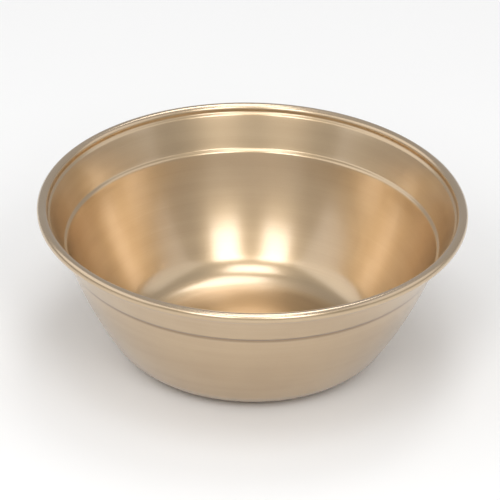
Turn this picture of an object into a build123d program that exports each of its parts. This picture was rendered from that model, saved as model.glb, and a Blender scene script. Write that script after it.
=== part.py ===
from build123d import *
from math import acos, asin, atan2, cos, degrees, radians, sin, sqrt
import os

os.makedirs("parts", exist_ok=True)

# A shallow bowl of gold-anodised aluminium, spun from one round blank.
# Its edge is rolled outwards over a steel wire, which stiffens the rim.
# Millimetres, +Z up, origin at the middle of the flat base's underside.

# Driving dimensions
rim_diameter = 160.0  # over the outside of the rolled rim
rim_height = 59.5  # from the base's underside to the top of the rim
sheet = 0.8  # thickness of the metal
base_diameter = 74.0  # flat part of the underside
corner_radius = 18.0  # base to wall, measured on the underside
wall_radius = 162.0  # bulge of the wall, measured on the underside
shoulder_inset = 10.8  # from the rim's outside in to the foot of the shoulder
shoulder_depth = 16.7  # from the rim's top down to the foot of the shoulder
shoulder_lean = 60.0  # slope of the shoulder, in degrees from vertical
shoulder_root_radius = 1.2  # bend at the foot of the shoulder, on the underside
shoulder_edge_radius = 2.0  # bend at the top of the shoulder, on the underside
bead_diameter = 4.0  # outside of the rolled edge
neck_radius = 1.2  # hollow under the bead, on the inside
neck_lean = 52.0  # slope of the neck under the bead, in degrees from vertical
neck_edge_radius = 1.2  # bend from the band to the neck, on the underside
edge_gap = 0.15  # left between the sheet's cut edge and the neck, where the roll closes
wire_clearance = 0.05  # all round the wire, inside the roll

# Sizes that follow from them
rim_radius = rim_diameter / 2
base_radius = base_diameter / 2
bead_radius = bead_diameter / 2
roll_inside_radius = bead_radius - sheet
wire_radius = roll_inside_radius - wire_clearance
neck_back_radius = neck_radius + sheet


def left_normal(lean):
    """Unit vector to the left of a line that rises outwards, lean degrees from vertical."""
    return Vector(-cos(radians(lean)), sin(radians(lean)))


def lean_of(spoke):
    """Lean of a left bend where its centre-to-surface spoke points this way."""
    return degrees(atan2(-spoke.Y, spoke.X))


# Rolled bead, and the hollow of the neck beside it at the same height
bead_centre = Vector(rim_radius - bead_radius, rim_height - bead_radius)
neck_centre = bead_centre - Vector(bead_radius + neck_radius, 0)
neck_edge_centre = neck_centre - left_normal(neck_lean) * (neck_back_radius + neck_edge_radius)

# Wall arc: through the foot of the shoulder, and tangent inside the corner arc
shoulder_foot = Vector(rim_radius - shoulder_inset, rim_height - shoulder_depth)
corner_centre = Vector(base_radius, corner_radius)
foot_to_corner = corner_centre - shoulder_foot
spacing = foot_to_corner.length
toward_corner = foot_to_corner / spacing
along = (wall_radius**2 - (wall_radius - corner_radius) ** 2 + spacing**2) / (2 * spacing)
across = sqrt(wall_radius**2 - along**2)
inward = Vector(toward_corner.Y, -toward_corner.X)
wall_centre = shoulder_foot + toward_corner * along + inward * across
wall_top_lean = lean_of(shoulder_foot - wall_centre)
wall_foot_lean = lean_of(corner_centre - wall_centre)

# Shoulder: a bend outwards at its foot, then a bend back up at its edge
shoulder_root_centre = shoulder_foot - left_normal(wall_top_lean) * shoulder_root_radius
bend_spacing = shoulder_root_radius + shoulder_edge_radius
shoulder_edge_centre = shoulder_root_centre + left_normal(shoulder_lean) * bend_spacing

# Band: the straight cone that is tangent to the shoulder's edge and to the neck's edge
band_reach = neck_edge_centre - shoulder_edge_centre
tangent_turn = degrees(asin((shoulder_edge_radius + neck_edge_radius) / band_reach.length))
band_lean = degrees(atan2(band_reach.X, band_reach.Y)) - tangent_turn

# The roll stops short of the back of the neck by the edge gap
centre_spacing = bead_radius + neck_radius
stop_radius = neck_back_radius + edge_gap
cos_opening = (centre_spacing**2 + bead_radius**2 - stop_radius**2) / (2 * centre_spacing * bead_radius)
roll_turn = 360 - degrees(acos(cos_opening))


def left_bend(centre, radius, lean_in, lean_out):
    """Arc of a rising line that turns left, so its centre is on the bowl's inside."""
    return CenterArc(centre, radius, -lean_in, lean_in - lean_out)


def right_bend(centre, radius, lean_in, lean_out):
    """Arc of a rising line that turns right, so its centre is on the underside."""
    return CenterArc(centre, radius, 180 - lean_in, lean_in - lean_out)


def face_line(depth):
    """Draw one face of the sheet, from the axis to the cut edge, and return its two ends.

    depth is how far the face lies above the underside: 0, or the sheet's thickness.
    """
    base = Line((0, depth), (base_radius, depth))
    left_bend(corner_centre, corner_radius - depth, 90, wall_foot_lean)
    left_bend(wall_centre, wall_radius - depth, wall_foot_lean, wall_top_lean)
    right_bend(shoulder_root_centre, shoulder_root_radius + depth, wall_top_lean, shoulder_lean)
    edge = left_bend(shoulder_edge_centre, shoulder_edge_radius - depth, shoulder_lean, band_lean)
    neck_edge = right_bend(neck_edge_centre, neck_edge_radius + depth, band_lean, neck_lean)
    Line(edge @ 1, neck_edge @ 0)
    left_bend(neck_centre, neck_back_radius - depth, neck_lean, 0)
    roll = right_bend(bead_centre, roll_inside_radius + depth, 0, roll_turn)
    return base @ 0, roll @ 1


# Bowl shell: base, corner, wall, shoulder, band, neck and rolled bead in one sheet
with BuildPart() as bowl_shell:
    with BuildSketch(Plane.XZ):
        with BuildLine():
            underside_middle, underside_edge = face_line(0)
            inside_middle, inside_edge = face_line(sheet)
            Line(underside_middle, inside_middle)
            Line(underside_edge, inside_edge)
        make_face()
    revolve(axis=Axis.Z)
bowl_shell.part.label = "bowl_shell"
export_step(bowl_shell.part, "parts/bowl_shell.step")

# Rim wire: a closed ring trapped inside the roll
with BuildPart() as rim_wire:
    with BuildSketch(Plane.XZ):
        with Locations(bead_centre):
            Circle(wire_radius)
    revolve(axis=Axis.Z)
rim_wire.part.label = "rim_wire"
export_step(rim_wire.part, "parts/rim_wire.step")
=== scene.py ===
"""Looks of a small gold-anodised bowl, spun from one aluminium blank and rolled over a rim wire.

Metres, +Z up, with the origin at the middle of the base's underside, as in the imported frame.
"""

import sys

import logging
import math
from dataclasses import dataclass, field
from enum import Enum
from typing import Any, Mapping, Optional, Sequence, Tuple, Union

import bpy
from mathutils import Matrix, Vector


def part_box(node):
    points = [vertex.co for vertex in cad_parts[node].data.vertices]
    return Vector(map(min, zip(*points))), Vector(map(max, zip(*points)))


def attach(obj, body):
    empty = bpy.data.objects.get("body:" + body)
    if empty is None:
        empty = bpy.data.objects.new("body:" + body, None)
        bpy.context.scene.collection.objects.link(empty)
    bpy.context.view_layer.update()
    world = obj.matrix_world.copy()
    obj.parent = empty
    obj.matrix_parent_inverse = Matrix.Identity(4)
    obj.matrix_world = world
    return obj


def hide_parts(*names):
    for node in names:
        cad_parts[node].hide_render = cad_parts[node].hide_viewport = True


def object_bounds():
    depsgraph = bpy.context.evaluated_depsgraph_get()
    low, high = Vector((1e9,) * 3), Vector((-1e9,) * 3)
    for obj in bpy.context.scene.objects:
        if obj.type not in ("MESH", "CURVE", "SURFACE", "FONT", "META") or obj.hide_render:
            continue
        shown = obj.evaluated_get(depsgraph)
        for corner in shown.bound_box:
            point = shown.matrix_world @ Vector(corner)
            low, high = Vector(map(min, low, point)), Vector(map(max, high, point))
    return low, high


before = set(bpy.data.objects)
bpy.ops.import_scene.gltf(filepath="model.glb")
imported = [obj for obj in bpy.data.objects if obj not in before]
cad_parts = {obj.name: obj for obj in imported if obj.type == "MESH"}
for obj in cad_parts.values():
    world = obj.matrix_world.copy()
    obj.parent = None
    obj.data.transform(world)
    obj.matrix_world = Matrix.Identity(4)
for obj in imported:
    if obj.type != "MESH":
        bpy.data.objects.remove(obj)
CAD_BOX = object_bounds()

log = logging.getLogger("bowl")

MM = 0.001
MERGE_DISTANCE = 0.001 * MM
AXIS_GUARD = 0.01 * MM  # keeps a division by the radius finite on the axis
NOISE_MIDDLE = 0.5
Colour = Tuple[float, float, float]
Operand = Union["Socket", float, Sequence[float]]


# ---------------------------------------------------------------------------------------------
# Shader building
# ---------------------------------------------------------------------------------------------


class Socket:
    """A node's output that takes part in Python arithmetic. Each step adds one Math node."""

    def __init__(self, graph: "Graph", output: bpy.types.NodeSocket) -> None:
        """Wrap an output.

        Args:
            graph: the graph that the output's node is in.
            output: the output itself.
        """
        self.graph = graph
        self.output = output

    def _math(self, operation: str, *operands: Operand) -> "Socket":
        """Add a Math node.

        Args:
            operation: the Math node's operation.
            *operands: its values or links, in order.

        Returns:
            The node's result.
        """
        return self.graph.node("ShaderNodeMath", {"operation": operation}, dict(enumerate(operands)))

    def __add__(self, other: Operand) -> "Socket":
        """self + other."""
        return self._math("ADD", self, other)

    def __radd__(self, other: Operand) -> "Socket":
        """other + self."""
        return self._math("ADD", other, self)

    def __sub__(self, other: Operand) -> "Socket":
        """self - other."""
        return self._math("SUBTRACT", self, other)

    def __rsub__(self, other: Operand) -> "Socket":
        """other - self."""
        return self._math("SUBTRACT", other, self)

    def __mul__(self, other: Operand) -> "Socket":
        """self * other."""
        return self._math("MULTIPLY", self, other)

    def __rmul__(self, other: Operand) -> "Socket":
        """other * self."""
        return self._math("MULTIPLY", other, self)

    def __truediv__(self, other: Operand) -> "Socket":
        """self / other."""
        return self._math("DIVIDE", self, other)

    def root(self) -> "Socket":
        """Square root."""
        return self._math("SQRT", self)

    def ramp(self, low: float, high: float) -> "Socket":
        """Rise smoothly from 0 at low to 1 at high, or fall if low is above high.

        Args:
            low: the value that gives 0.
            high: the value that gives 1.

        Returns:
            The eased value.
        """
        settings = {"interpolation_type": "SMOOTHSTEP"}
        return self.graph.node("ShaderNodeMapRange", settings, {0: self, 1: low, 2: high, 3: 0.0, 4: 1.0})


class Graph:
    """One material's node tree, and the ways to add to it."""

    def __init__(self, name: str) -> None:
        """Start a material with its surface shader joined to its output.

        Args:
            name: the material's name.
        """
        self.material = bpy.data.materials.new(name)
        self.material.use_nodes = True
        self.tree = self.material.node_tree
        self.shader = self.tree.nodes["Principled BSDF"]

    def node(
        self,
        kind: str,
        settings: Optional[Mapping[str, Any]] = None,
        inputs: Optional[Mapping[Union[int, str], Any]] = None,
        output: Union[int, str] = 0,
    ) -> Socket:
        """Add a node, set it up, then give its sockets their values or links.

        Args:
            kind: the node's type name.
            settings: the node's own settings, such as its operation.
            inputs: a value or a Socket for each input, by index or name.
            output: which output to return.

        Returns:
            That output.
        """
        made = self.tree.nodes.new(kind)
        for name, value in (settings or {}).items():
            setattr(made, name, value)
        self._feed(made, inputs or {})
        return Socket(self, made.outputs[output])

    def _feed(self, made: bpy.types.Node, inputs: Mapping[Union[int, str], Any]) -> None:
        """Give a node's inputs their values or links.

        Args:
            made: the node.
            inputs: a value or a Socket for each input, by index or name.
        """
        for key, value in inputs.items():
            if isinstance(value, Socket):
                self.tree.links.new(value.output, made.inputs[key])
            else:
                made.inputs[key].default_value = value

    def place(self) -> Tuple[Socket, Socket, Socket]:
        """Split the point on the piece into its coordinates.

        Returns:
            x, y and z in metres.
        """
        point = self.node("ShaderNodeTexCoord", output="Object")
        parts = [self.node("ShaderNodeSeparateXYZ", inputs={0: point}, output=axis) for axis in "XYZ"]
        return parts[0], parts[1], parts[2]

    def vector(self, x: Operand, y: Operand, z: Operand) -> Socket:
        """Join three values into a vector."""
        return self.node("ShaderNodeCombineXYZ", inputs={0: x, 1: y, 2: z})

    def cells(self, x: Socket, y: Socket, z: Socket, size: float) -> Socket:
        """A point counted in cells of one size."""
        return self.vector(x / size, y / size, z / size)

    def noise(self, point: Socket, fourth: Operand, detail: float) -> Socket:
        """Noise from 0 to 1 in four dimensions, one unit to a cell.

        Args:
            point: the first three coordinates.
            fourth: the fourth coordinate.
            detail: how many finer layers to add.

        Returns:
            The noise.
        """
        settings = {"noise_dimensions": "4D"}
        inputs = {"Vector": point, "W": fourth, "Scale": 1.0, "Detail": detail, "Roughness": 0.5}
        return self.node("ShaderNodeTexNoise", settings, inputs)

    def blend(self, amount: Operand, first: Operand, second: Operand) -> Socket:
        """Mix two colours.

        Args:
            amount: 0 for the first colour, 1 for the second.
            first: a colour with alpha, or a Socket.
            second: a colour with alpha, or a Socket.

        Returns:
            The mixed colour.
        """
        settings = {"data_type": "RGBA"}
        return self.node("ShaderNodeMix", settings, {0: amount, 6: first, 7: second}, output=2)

    def finish(self, surface: Mapping[str, Any]) -> bpy.types.Material:
        """Give the surface shader its values and links.

        Args:
            surface: a value or a Socket for each of the shader's inputs, by name.

        Returns:
            The finished material.
        """
        self._feed(self.shader, surface)
        return self.material


def opaque(colour: Colour) -> Tuple[float, float, float, float]:
    """A colour with full alpha, as colour sockets take it."""
    return (*colour, 1.0)


# ---------------------------------------------------------------------------------------------
# Finishes
# ---------------------------------------------------------------------------------------------


@dataclass(frozen=True)
class SpunGold:
    """Gold-dyed anodised aluminium, satin and finely etched, with the rings that spinning leaves.

    The rim's top is paler: rubbed wear, and partly a painted highlight. The bend under the shoulder holds a
    darker line of painted shade.
    """

    colour: Colour = (0.54, 0.38, 0.20)
    deep_colour: Colour = (0.48, 0.325, 0.16)
    dye_low: float = 0.32
    dye_high: float = 0.68
    cloud_share: float = 0.40
    band_share: float = 0.30
    ring_share: float = 0.15
    etch_share: float = 0.15

    roughness: float = 0.30
    roughness_spread: float = 0.04
    ring_streaks: float = 0.6
    band_streaks: float = 0.4

    film_weight: float = 1.0
    film_index: float = 2.2
    film_roughness: float = 0.19

    ring_pitch: float = 0.45 * MM
    ring_height: float = 0.0009 * MM
    band_pitch: float = 4.0 * MM
    etch_pitch: float = 0.35 * MM
    etch_height: float = 0.003 * MM
    cloud_size: float = 22.0 * MM

    # Paler rim top: partly rubbed wear, partly a painted highlight that whitens the rim.
    rim_wear_and_highlight_colour: Colour = (0.62, 0.49, 0.355)
    rubbed_height: float = 1.3 * MM
    rubbed_least: float = 0.35
    rubbed_spread: float = 0.5
    rubbed_smoothing: float = 0.12
    rubbed_film_loss: float = 0.4

    # A darker line of painted shade in the bend under the shoulder, where the film is thinned too.
    crease_shade_colour: Colour = (0.20, 0.12, 0.063)
    crease_shade_strength: float = 0.62
    crease_shade_fade: float = 0.75 * MM
    crease_shade_film_loss: float = 0.6

    def material(self, rim_top: float, bend: Vector, bend_radius: float) -> bpy.types.Material:
        """Make the finish.

        Args:
            rim_top: height of the top of the rim, where hands rub the dye thin and a painted highlight makes
                it paler.
            bend: centre of the bend under the shoulder, as radius and height. Painted shade darkens the line
                in it.
            bend_radius: the bend's radius on the outside of the bowl.

        Returns:
            The material.
        """
        graph = Graph("spun_gold")
        x, y, z = graph.place()
        radius = (x * x + y * y).root() + AXIS_GUARD
        rings = self._turned(graph, x, y, z, radius, self.ring_pitch, detail=2.0)
        bands = self._turned(graph, x, y, z, radius, self.band_pitch, detail=1.0)
        clouds = graph.noise(graph.cells(x, y, z, self.cloud_size), fourth=0.0, detail=2.0)
        etch = graph.noise(graph.cells(x, y, z, self.etch_pitch), fourth=0.0, detail=1.0)

        # Paler rim top: rubbed wear, and partly a painted highlight.
        wear = self.rubbed_least + self.rubbed_spread * clouds
        rim_wear_and_highlight = z.ramp(rim_top - self.rubbed_height, rim_top) * wear
        # Painted shade: a dark line in the bend under the shoulder.
        outwards, upwards = radius - bend.x, z - bend.y
        from_bend = (outwards * outwards + upwards * upwards).root()
        crease_shade = from_bend.ramp(bend_radius + self.crease_shade_fade, bend_radius) * self.crease_shade_strength

        slow = clouds * self.cloud_share + bands * self.band_share
        dye = (slow + rings * self.ring_share + etch * self.etch_share).ramp(self.dye_low, self.dye_high)
        dyed = graph.blend(dye, opaque(self.deep_colour), opaque(self.colour))
        with_rim_wear_and_highlight = graph.blend(rim_wear_and_highlight, dyed, opaque(self.rim_wear_and_highlight_colour))
        streaks = rings * self.ring_streaks + bands * self.band_streaks - NOISE_MIDDLE
        film_left = (1.0 - self.rubbed_film_loss * rim_wear_and_highlight) * (1.0 - self.crease_shade_film_loss * crease_shade)
        height = rings * self.ring_height + etch * self.etch_height
        relief = {"Strength": 1.0, "Distance": 1.0, "Height": height}
        return graph.finish(
            {
                "Base Color": graph.blend(crease_shade, with_rim_wear_and_highlight, opaque(self.crease_shade_colour)),
                "Metallic": 1.0,
                "Roughness": self.roughness
                + streaks * (2 * self.roughness_spread)
                - rim_wear_and_highlight * self.rubbed_smoothing,
                "Coat Weight": self.film_weight * film_left,
                "Coat IOR": self.film_index,
                "Coat Roughness": self.film_roughness,
                "Normal": graph.node("ShaderNodeBump", inputs=relief),
            }
        )

    def _turned(
        self, graph: Graph, x: Socket, y: Socket, z: Socket, radius: Socket, pitch: float, detail: float
    ) -> Socket:
        """Noise drawn out round the axis, as a turned or spun surface has it.

        Args:
            graph: the material's graph.
            x: the point's x.
            y: the point's y.
            z: the point's height.
            radius: the point's distance from the axis.
            pitch: the distance from one ring to the next.
            detail: how many finer layers to add.

        Returns:
            The noise, from 0 to 1.
        """
        around = graph.vector(x / radius, y / radius, radius / pitch)
        return graph.noise(around, z / pitch, detail)


@dataclass(frozen=True)
class DrawnSteel:
    """Plain drawn steel wire, with fine marks along it from the die and a little tarnish."""

    colour: Colour = (0.50, 0.50, 0.51)
    tarnish: Colour = (0.33, 0.30, 0.27)
    tarnish_low: float = 0.45
    tarnish_high: float = 0.75
    tarnish_size: float = 9.0 * MM
    roughness: float = 0.34
    mark_pitch: float = 0.18 * MM
    mark_roughness: float = 0.12

    def material(self) -> bpy.types.Material:
        """Make the finish.

        Returns:
            The material.
        """
        graph = Graph("drawn_steel")
        x, y, z = graph.place()
        radius = (x * x + y * y).root()
        along = graph.vector(x / radius, y / radius, radius / self.mark_pitch)
        marks = graph.noise(along, z / self.mark_pitch, detail=2.0)
        patches = graph.noise(graph.cells(x, y, z, self.tarnish_size), fourth=0.0, detail=3.0)
        tarnished = patches.ramp(self.tarnish_low, self.tarnish_high)
        return graph.finish(
            {
                "Base Color": graph.blend(tarnished, opaque(self.colour), opaque(self.tarnish)),
                "Metallic": 1.0,
                "Roughness": self.roughness + marks * self.mark_roughness,
            }
        )


@dataclass(frozen=True)
class PaleCard:
    """Matt white card, for the floor that the bowl stands on."""

    colour: Colour = (0.90, 0.90, 0.90)
    shaded_colour: Colour = (0.88, 0.88, 0.88)
    roughness: float = 0.9
    specular: float = 0.1
    cloud_size: float = 0.35

    def material(self) -> bpy.types.Material:
        """Make the finish.

        Returns:
            The material.
        """
        graph = Graph("pale_card")
        x, y, z = graph.place()
        across = graph.vector(x / self.cloud_size, y / self.cloud_size, z)
        clouds = graph.noise(across, fourth=0.0, detail=2.0)
        colour = graph.blend(clouds, opaque(self.colour), opaque(self.shaded_colour))
        return graph.finish(
            {"Base Color": colour, "Roughness": self.roughness, "Specular IOR Level": self.specular}
        )


# ---------------------------------------------------------------------------------------------
# Modelling
# ---------------------------------------------------------------------------------------------


class Turn(Enum):
    """Which way a bend turns as the sheet is followed outwards and up from the base."""

    LEFT = 1
    RIGHT = -1


def deselect_everything() -> None:
    """Leave object mode with nothing selected and nothing active."""
    if bpy.context.object and bpy.context.object.mode != "OBJECT":
        bpy.ops.object.mode_set(mode="OBJECT")
    bpy.ops.object.select_all(action="DESELECT")
    bpy.context.view_layer.objects.active = None


def apply_modifier(piece: bpy.types.Object, name: str, kind: str, **settings: Any) -> None:
    """Add a modifier, set it up and apply it.

    Args:
        piece: the piece, which is the active object.
        name: the modifier's name.
        kind: the modifier's type.
        **settings: its settings.
    """
    modifier = piece.modifiers.new(name, kind)
    for key, value in settings.items():
        setattr(modifier, key, value)
    bpy.ops.object.modifier_apply(modifier=name)


class Template:
    """Draws a section in the XZ plane from the axis outwards, by extruding and spinning its last point."""

    def __init__(self, name: str) -> None:
        """Start at the origin with one point, selected, in edit mode.

        Args:
            name: the name of the piece that the section becomes.
        """
        deselect_everything()
        bpy.ops.mesh.primitive_plane_add(size=MM)
        self.piece = bpy.context.object
        self.piece.name = name
        self.piece.data.name = name
        bpy.ops.object.mode_set(mode="EDIT")
        bpy.ops.mesh.select_mode(type="VERT")
        bpy.ops.mesh.select_all(action="SELECT")
        bpy.ops.mesh.merge(type="CENTER")
        self.at = Vector((0.0, 0.0))

    def run(self, end: Vector, steps: int) -> None:
        """Draw a straight run.

        Args:
            end: where it ends, as radius and height.
            steps: how many equal lengths it has.
        """
        step = (end - self.at) / steps
        for _ in range(steps):
            bpy.ops.mesh.extrude_region_move(TRANSFORM_OT_translate={"value": (step.x, 0.0, step.y)})
        self.at = end.copy()

    def bend(self, centre: Vector, turn: Turn, angle: float, steps: int) -> None:
        """Draw a bend.

        Args:
            centre: centre of the bend, as radius and height.
            turn: which way it goes.
            angle: how far it goes, in degrees.
            steps: how many equal lengths it has.
        """
        swing = math.radians(angle) * turn.value
        bpy.ops.mesh.spin(
            steps=steps, angle=swing, center=(centre.x, 0.0, centre.y), axis=(0.0, 1.0, 0.0)
        )
        self.at = centre + Matrix.Rotation(swing, 2) @ (self.at - centre)

    def spin_round(self, steps: int) -> bpy.types.Object:
        """Turn the section once about the Z axis, and close its seam and its pole.

        Args:
            steps: how many faces there are round the piece.

        Returns:
            The piece, in object mode, selected and active, with its faces pointing away from the inside.
        """
        bpy.ops.mesh.select_all(action="SELECT")
        bpy.ops.mesh.spin(steps=steps, angle=math.tau, center=(0.0, 0.0, 0.0), axis=(0.0, 0.0, 1.0))
        bpy.ops.mesh.select_all(action="SELECT")
        bpy.ops.mesh.remove_doubles(threshold=MERGE_DISTANCE)
        bpy.ops.mesh.normals_make_consistent(inside=False)
        bpy.ops.object.mode_set(mode="OBJECT")
        return self.piece


# ---------------------------------------------------------------------------------------------
# The bowl
# ---------------------------------------------------------------------------------------------


@dataclass
class BowlShell:
    """The bowl: one sheet, spun to a flat base, a curved wall and a shoulder, and rolled at its edge."""

    finish: SpunGold = field(default_factory=SpunGold)
    sheet: float = 0.8 * MM
    base_diameter: float = 74.0 * MM
    corner_radius: float = 18.0 * MM
    wall_radius: float = 162.0 * MM
    shoulder_inset: float = 10.8 * MM
    shoulder_depth: float = 16.7 * MM
    shoulder_lean: float = 60.0
    shoulder_root_radius: float = 1.2 * MM
    shoulder_edge_radius: float = 2.0 * MM
    neck_radius: float = 1.2 * MM
    neck_lean: float = 52.0
    neck_edge_radius: float = 1.2 * MM
    edge_gap: float = 0.15 * MM
    wire_clearance: float = 0.05 * MM
    cut_edge_round: float = 0.12 * MM
    unevenness: float = 0.10 * MM
    unevenness_size: float = 34.0 * MM
    sharp_above: float = 60.0
    smooth_below: float = 40.0
    steps_round: int = 320
    base_steps: int = 8
    corner_steps: int = 20
    wall_steps: int = 24
    shoulder_steps: int = 8
    band_steps: int = 6
    neck_edge_steps: int = 6
    neck_steps: int = 10
    roll_steps: int = 44

    def build(self) -> bpy.types.Object:
        """Model the shell.

        Returns:
            The finished piece.
        """
        piece = self._draw().spin_round(self.steps_round)
        self._make_uneven(piece)
        self._thicken(piece)
        bpy.ops.object.shade_smooth_by_angle(angle=math.radians(self.smooth_below))
        return piece

    def dress(self, piece: bpy.types.Object) -> None:
        """Give the shell its finish, and let it stand for the plain one.

        Args:
            piece: the shell.
        """
        piece.data.materials.clear()
        rim_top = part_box("bowl_shell")[1].z
        finish = self.finish.material(rim_top, self._root_centre(), self.shoulder_root_radius)
        piece.data.materials.append(finish)
        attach(piece, "root")
        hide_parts("bowl_shell")

    def _draw(self) -> Template:
        """Draw the underside's line, from the axis to the cut edge inside the roll.

        Returns:
            The template with the line drawn.
        """
        low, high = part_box("bowl_shell")
        wire_low, wire_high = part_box("rim_wire")
        rim = Vector((high.x, high.z))
        wire_radius = (wire_high.z - wire_low.z) / 2
        roll_radius = wire_radius + self.wire_clearance
        bead_radius = roll_radius + self.sheet
        bead_centre = rim - Vector((bead_radius, bead_radius))
        neck_back = self.neck_radius + self.sheet

        neck_centre = bead_centre - Vector((bead_radius + self.neck_radius, 0.0))
        neck_edge = neck_centre - left_normal(self.neck_lean) * (neck_back + self.neck_edge_radius)

        foot = self._foot()
        corner = Vector((self.base_diameter / 2, self.corner_radius))
        wall_centre = self._wall_centre(foot, corner)
        wall_top_lean = lean_of(foot - wall_centre)
        wall_foot_lean = lean_of(corner - wall_centre)

        root = self._root_centre()
        bends = self.shoulder_root_radius + self.shoulder_edge_radius
        edge = root + left_normal(self.shoulder_lean) * bends
        reach = neck_edge - edge
        tangent_turn = math.degrees(
            math.asin((self.shoulder_edge_radius + self.neck_edge_radius) / reach.length)
        )
        band_lean = math.degrees(math.atan2(reach.x, reach.y)) - tangent_turn

        apart = bead_radius + self.neck_radius
        stop = neck_back + self.edge_gap
        opening = math.acos((apart**2 + bead_radius**2 - stop**2) / (2 * apart * bead_radius))

        line = Template("gold_bowl_shell")
        line.run(Vector((self.base_diameter / 2, low.z)), self.base_steps)
        line.bend(corner, Turn.LEFT, 90.0 - wall_foot_lean, self.corner_steps)
        line.bend(wall_centre, Turn.LEFT, wall_foot_lean - wall_top_lean, self.wall_steps)
        line.bend(root, Turn.RIGHT, self.shoulder_lean - wall_top_lean, self.shoulder_steps)
        line.bend(edge, Turn.LEFT, self.shoulder_lean - band_lean, self.shoulder_steps)
        line.run(neck_edge + left_normal(band_lean) * self.neck_edge_radius, self.band_steps)
        line.bend(neck_edge, Turn.RIGHT, self.neck_lean - band_lean, self.neck_edge_steps)
        line.bend(neck_centre, Turn.LEFT, self.neck_lean, self.neck_steps)
        line.bend(bead_centre, Turn.RIGHT, 360.0 - math.degrees(opening), self.roll_steps)
        return line

    def _foot(self) -> Vector:
        """Foot of the shoulder on the underside, as radius and height."""
        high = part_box("bowl_shell")[1]
        return Vector((high.x - self.shoulder_inset, high.z - self.shoulder_depth))

    def _root_centre(self) -> Vector:
        """Centre of the bend at the shoulder's foot.

        Returns:
            The centre, as radius and height.
        """
        foot = self._foot()
        centre = self._wall_centre(foot, Vector((self.base_diameter / 2, self.corner_radius)))
        return foot - left_normal(lean_of(foot - centre)) * self.shoulder_root_radius

    def _wall_centre(self, foot: Vector, corner: Vector) -> Vector:
        """Centre of the wall's arc, which passes through the shoulder's foot and is tangent to the corner.

        Args:
            foot: foot of the shoulder, as radius and height.
            corner: centre of the corner's arc, as radius and height.

        Returns:
            The centre, as radius and height.
        """
        span = corner - foot
        toward = span.normalized()
        inward = Vector((toward.y, -toward.x))
        inner = self.wall_radius - self.corner_radius
        along = (self.wall_radius**2 - inner**2 + span.length_squared) / (2 * span.length)
        return foot + toward * along + inward * math.sqrt(self.wall_radius**2 - along**2)

    def _make_uneven(self, piece: bpy.types.Object) -> None:
        """Move the wall in and out a little, as forming by hand leaves it. The base and rim stay true.

        Args:
            piece: the sheet before it has its thickness.
        """
        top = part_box("bowl_shell")[1].z - self.shoulder_depth
        wall = piece.vertex_groups.new(name="wall")
        for vertex in piece.data.vertices:
            share = vertex.co.z / top
            if 0.0 < share < 1.0:
                wall.add([vertex.index], math.sin(math.pi * share) ** 2, "REPLACE")
        waves = bpy.data.textures.new("forming_waves", "CLOUDS")
        waves.noise_scale = self.unevenness_size
        waves.noise_depth = 0
        apply_modifier(
            piece, "uneven", "DISPLACE", texture=waves, texture_coords="LOCAL", vertex_group="wall",
            strength=self.unevenness, mid_level=0.5,
        )
        piece.vertex_groups.clear()

    def _thicken(self, piece: bpy.types.Object) -> None:
        """Give the sheet its thickness towards the inside, and break the sharp edges of its cut end.

        Args:
            piece: the sheet.
        """
        base = min(piece.data.polygons, key=lambda face: face.center.length)
        inward = -1.0 if base.normal.z < 0 else 1.0
        apply_modifier(
            piece, "thickness", "SOLIDIFY", thickness=self.sheet, offset=inward,
            use_even_offset=True, use_quality_normals=True,
        )
        apply_modifier(
            piece, "cut_edge", "BEVEL", width=self.cut_edge_round, segments=2,
            limit_method="ANGLE", angle_limit=math.radians(self.sharp_above),
        )


def left_normal(lean: float) -> Vector:
    """Unit vector to the left of a line that rises outwards, lean degrees from vertical."""
    return Vector((-math.cos(math.radians(lean)), math.sin(math.radians(lean))))


def lean_of(spoke: Vector) -> float:
    """Lean of a left bend where its centre-to-surface spoke points this way, in degrees."""
    return math.degrees(math.atan2(-spoke.y, spoke.x))


@dataclass
class RimWire:
    """The steel ring inside the rolled edge. It keeps its own shape and gets a wire's finish."""

    finish: DrawnSteel = field(default_factory=DrawnSteel)

    def dress(self) -> bpy.types.Object:
        """Put the finish on the ring.

        Returns:
            The ring.
        """
        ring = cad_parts["rim_wire"]
        ring.material_slots[0].material = self.finish.material()
        return ring


# ---------------------------------------------------------------------------------------------
# The studio
# ---------------------------------------------------------------------------------------------


def direction(azimuth: float, elevation: float) -> Vector:
    """Unit vector from the bowl. Azimuth 0 points at the viewer and 90 to the viewer's right, in degrees."""
    a, e = math.radians(azimuth), math.radians(elevation)
    return Vector((math.sin(a) * math.cos(e), -math.cos(a) * math.cos(e), math.sin(e)))


@dataclass(frozen=True)
class SoftBox:
    """A soft rectangular light that faces the bowl. Angles are in degrees and sizes in metres."""

    name: str
    azimuth: float
    elevation: float
    width: float
    height: float
    brightness: float
    distance: float = 1.3

    def place(self, target: Vector) -> bpy.types.Object:
        """Add the light.

        Args:
            target: the point that it faces.

        Returns:
            The light.
        """
        data = bpy.data.lights.new(self.name, "AREA")
        data.shape = "RECTANGLE"
        data.size = self.width
        data.size_y = self.height
        data.energy = self.brightness * math.pi * self.width * self.height
        light = bpy.data.objects.new(self.name, data)
        out = direction(self.azimuth, self.elevation)
        light.location = target + out * self.distance
        light.rotation_euler = out.to_track_quat("Z", "Y").to_euler()
        light.visible_camera = False
        bpy.context.scene.collection.objects.link(light)
        return light


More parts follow.
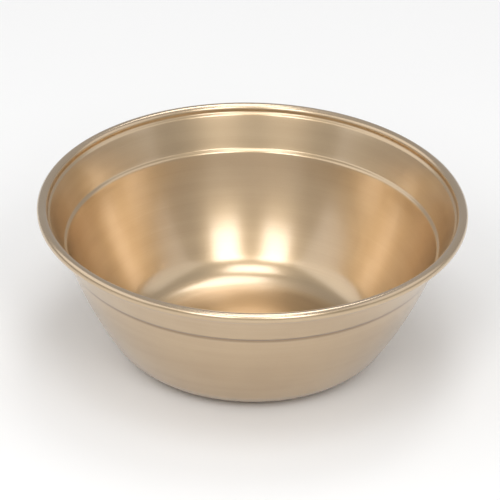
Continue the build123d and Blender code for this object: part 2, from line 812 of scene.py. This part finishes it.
@dataclass
class Studio:
    """The pale floor, the soft lights round the bowl and the grey room beyond them."""

    floor_size: float = 16.0
    room: float = 0.48
    card: PaleCard = field(default_factory=PaleCard)
    lights: Tuple[SoftBox, ...] = (
        SoftBox("left_box", azimuth=-20.5, elevation=41.0, width=0.42, height=0.54, brightness=4.3),
        SoftBox("right_box", azimuth=22.0, elevation=40.0, width=0.43, height=0.54, brightness=4.6),
        SoftBox("top_box", azimuth=0.0, elevation=77.0, width=0.55, height=0.46, brightness=3.6),
        SoftBox("back_box", azimuth=165.0, elevation=68.0, width=0.40, height=0.60, brightness=3.2),
        SoftBox("left_side_box", azimuth=-85.0, elevation=38.0, width=1.70, height=0.90, brightness=0.78),
        SoftBox("right_side_box", azimuth=85.0, elevation=35.0, width=1.20, height=0.90, brightness=0.56),
        SoftBox("front_low_box", azimuth=0.0, elevation=12.0, width=1.50, height=0.46, brightness=0.22),
    )

    def build(self) -> bpy.types.Object:
        """Lay the floor, set the lights and fill the room.

        Returns:
            The floor.
        """
        deselect_everything()
        bpy.ops.mesh.primitive_plane_add(size=self.floor_size)
        floor = bpy.context.object
        floor.name = "floor"
        floor.data.materials.append(self.card.material())
        middle = (CAD_BOX[0] + CAD_BOX[1]) / 2
        for light in self.lights:
            light.place(middle)
        world = bpy.data.worlds.new("room")
        world.use_nodes = True
        world.node_tree.nodes["Background"].inputs["Color"].default_value = opaque((self.room,) * 3)
        bpy.context.scene.world = world
        return floor


@dataclass
class Viewpoint:
    """A long lens, a little above the bowl and in front of it."""

    distance: float = 2.4
    elevation: float = 30.42
    roll: float = 1.3
    lens: float = 466.1
    sensor: float = 36.0
    far_clip: float = 100.0
    aim: Vector = field(default_factory=lambda: Vector((-0.6, -7.5, 44.8)) * MM)

    def place(self) -> bpy.types.Object:
        """Add the camera and make it the scene's own.

        Returns:
            The camera.
        """
        data = bpy.data.cameras.new("viewpoint")
        data.lens = self.lens
        data.sensor_width = self.sensor
        data.clip_end = self.far_clip
        camera = bpy.data.objects.new("viewpoint", data)
        out = direction(0.0, self.elevation)
        camera.location = self.aim + out * self.distance
        level = out.to_track_quat("Z", "Y").to_matrix()
        tilt = Matrix.Rotation(math.radians(self.roll), 3, "Z")
        camera.rotation_euler = (level @ tilt).to_euler()
        bpy.context.scene.collection.objects.link(camera)
        bpy.context.scene.camera = camera
        return camera


def report(piece: bpy.types.Object) -> None:
    """Log a piece's name, face count and box.

    Args:
        piece: the piece.
    """
    corners = [Vector(corner) for corner in piece.bound_box]
    low = [min(c[i] for c in corners) / MM for i in range(3)]
    high = [max(c[i] for c in corners) / MM for i in range(3)]
    size = " x ".join(f"{b - a:.2f}" for a, b in zip(low, high))
    log.info("%s: %d faces, %s mm, from z %.2f", piece.name, len(piece.data.polygons), size, low[2])


def main() -> None:
    """Build the studio and the bowl, and write how large the result is."""
    logging.basicConfig(level=logging.INFO, format="%(name)s: %(message)s", stream=sys.stdout)
    bpy.context.scene.view_settings.view_transform = "Standard"
    Viewpoint().place()
    Studio().build()
    shell = BowlShell()
    bowl = shell.build()
    shell.dress(bowl)
    report(bowl)
    report(RimWire().dress())


if __name__ == "__main__":
    main()
